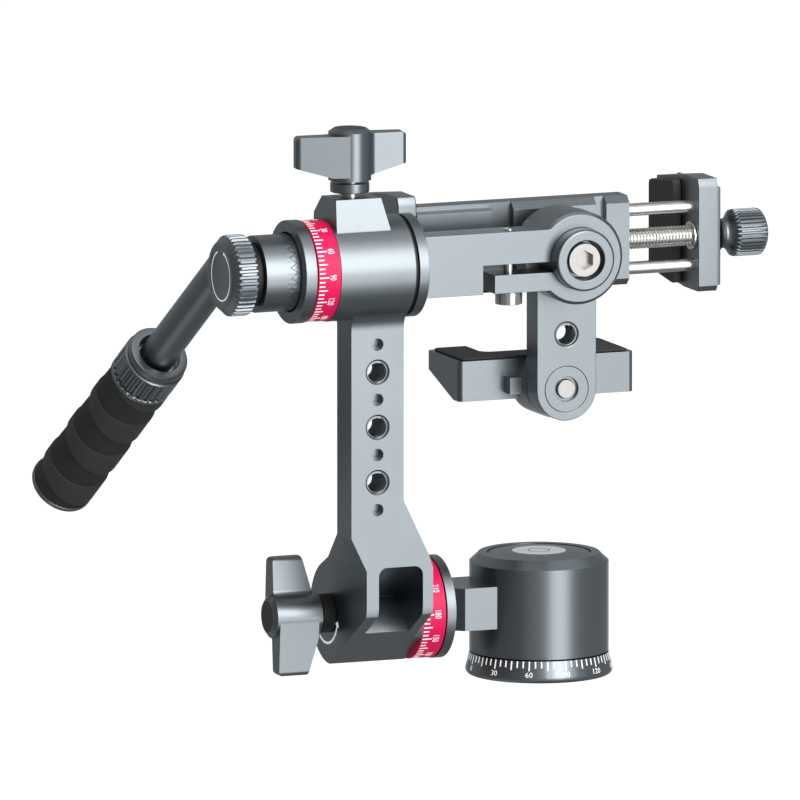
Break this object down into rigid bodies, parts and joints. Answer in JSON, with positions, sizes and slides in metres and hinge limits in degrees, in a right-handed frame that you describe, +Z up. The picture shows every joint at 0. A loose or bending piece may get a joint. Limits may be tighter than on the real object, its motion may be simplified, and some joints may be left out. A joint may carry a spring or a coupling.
{
  "type": "phone gimbal head",
  "caption": "Tripod head for a phone: level pan base, upright arm with two scaled tilt axes and wing knobs, bent handle and a screw-driven phone clamp on a swivel.",
  "frame": {"origin": "middle of the tripod socket's mouth, on the flat foot of the pan base", "axes": "+Z up along the pan axis, X along both tilt axes with the phone clamp's knob at +X, +Y towards the operator who holds the handle"},
  "size_m": [0.1874, 0.1359, 0.1643],
  "materials": {
    "titanium_anodised": "satin anodised",
    "dark_anodised": "satin anodised",
    "red_anodised": "satin anodised",
    "bright_steel": "turned",
    "rubber": "matt",
    "black_plastic": "matt",
    "brake_plastic": "matt",
    "vial": "clear over pale grey",
    "brass": "turned"
  },
  "bodies": {
    "base": {"pan_base": "dark_anodised", "tripod_bush": "bright_steel", "pan_retainer": "bright_steel", "retainer_screw": "bright_steel"},
    "pan": {"pan_housing": "titanium_anodised", "pan_bush": "black_plastic", "level_cap": "dark_anodised", "level_vial": "vial", "lower_tilt_shaft": "bright_steel"},
    "arm": {"arm": "titanium_anodised", "lower_scale_ring": "red_anodised", "lower_tilt_bush": "black_plastic", "upper_scale_ring": "red_anodised", "left_tilt_bush": "black_plastic", "right_tilt_bush": "black_plastic", "brake_pad": "brake_plastic", "lower_knob_spacer": "black_plastic"},
    "lower_knob": {"lower_wing_knob": "titanium_anodised", "lower_knob_cap": "black_plastic", "lower_knob_nut": "bright_steel"},
    "upper_knob": {"upper_wing_knob": "titanium_anodised", "upper_knob_cap": "black_plastic", "upper_knob_screw": "bright_steel", "upper_knob_spacer": "dark_anodised"},
    "cradle": {"tilt_shaft": "bright_steel", "cradle_arm": "titanium_anodised", "left_flange": "titanium_anodised", "seam_washer": "black_plastic", "fixed_rosette": "dark_anodised", "pinch_screw": "bright_steel"},
    "handle": {"handle_barrel": "titanium_anodised", "handle_rosette": "dark_anodised", "handle_rod": "titanium_anodised", "lock_spacer": "black_plastic"},
    "handle_lock": {"lock_knob": "titanium_anodised", "lock_knob_nut": "bright_steel"},
    "grip": {"grip_sleeve": "bright_steel", "grip_rubber": "rubber", "grip_end_cap": "dark_anodised"},
    "collar": {"grip_collar": "dark_anodised"},
    "swivel": {"swivel_spindle": "titanium_anodised", "spindle_screw": "bright_steel", "link": "titanium_anodised", "pivot_washer": "titanium_anodised", "clamp_rail": "titanium_anodised", "fixed_jaw": "titanium_anodised", "fixed_jaw_pad": "rubber", "lead_nut": "brass", "shelf_pin": "bright_steel"},
    "shelf": {"phone_shelf": "titanium_anodised", "shelf_pad": "rubber"},
    "jaw": {"moving_jaw": "titanium_anodised", "moving_jaw_pad": "rubber", "guide_rods": "bright_steel", "jaw_end_plate": "dark_anodised"},
    "screw": {"lead_screw": "bright_steel", "clamp_knob": "titanium_anodised", "screw_washer": "bright_steel"}
  },
  "joints": [
    {"name": "pan_turn", "type": "hinge", "parent": "base", "child": "pan", "pos_m": [0, 0, 0.0212], "axis": [0, 0, 1], "continuous": true},
    {"name": "lower_tilt", "type": "hinge", "parent": "pan", "child": "arm", "pos_m": [-0.04, 0, 0.0212], "axis": [1, 0, 0], "range_deg": [-90, 90]},
    {"name": "lower_knob_turn", "type": "hinge", "parent": "pan", "child": "lower_knob", "pos_m": [-0.075, 0, 0.0212], "axis": [1, 0, 0], "range_deg": [-180, 180]},
    {"name": "upper_tilt", "type": "hinge", "parent": "arm", "child": "cradle", "pos_m": [-0.064, -0.0231, 0.124], "axis": [1, 0, 0], "range_deg": [-90, 90]},
    {"name": "upper_knob_turn", "type": "hinge", "parent": "arm", "child": "upper_knob", "pos_m": [-0.0675, -0.0231, 0.156], "axis": [0, 0, 1], "range_deg": [-180, 180]},
    {"name": "handle_index", "type": "hinge", "parent": "cradle", "child": "handle", "pos_m": [-0.09385, -0.0231, 0.124], "axis": [1, 0, 0], "continuous": true},
    {"name": "handle_lock_turn", "type": "hinge", "parent": "cradle", "child": "handle_lock", "pos_m": [-0.103, -0.0231, 0.124], "axis": [1, 0, 0], "range_deg": [-180, 180]},
    {"name": "grip_slide", "type": "slide", "parent": "handle", "child": "grip", "axis": [0.1397, -0.7483, 0.6485], "range_m": [0, 0.02]},
    {"name": "collar_twist", "type": "hinge", "parent": "grip", "child": "collar", "pos_m": [-0.10153, 0.04451, 0.08833], "axis": [-0.1397, 0.7483, -0.6485], "range_deg": [0, 90]},
    {"name": "swivel_turn", "type": "hinge", "parent": "cradle", "child": "swivel", "pos_m": [0, -0.026, 0.124], "axis": [0, 1, 0], "range_deg": [-90, 90]},
    {"name": "shelf_pivot", "type": "hinge", "parent": "swivel", "child": "shelf", "pos_m": [0, -0.012, 0.0849], "axis": [0, 1, 0], "range_deg": [-40, 40]},
    {"name": "jaw_slide", "type": "slide", "parent": "swivel", "child": "jaw", "axis": [1, 0, 0], "range_m": [-0.0195, 0.009]},
    {"name": "lead_screw_turn", "type": "hinge", "parent": "jaw", "child": "screw", "pos_m": [0.04, -0.0022, 0.124], "axis": [1, 0, 0], "continuous": true}
  ],
  "couplings": [
    {"joint": "lead_screw_turn", "follows": "jaw_slide", "rad_per_m": 6283.2}
  ]
}
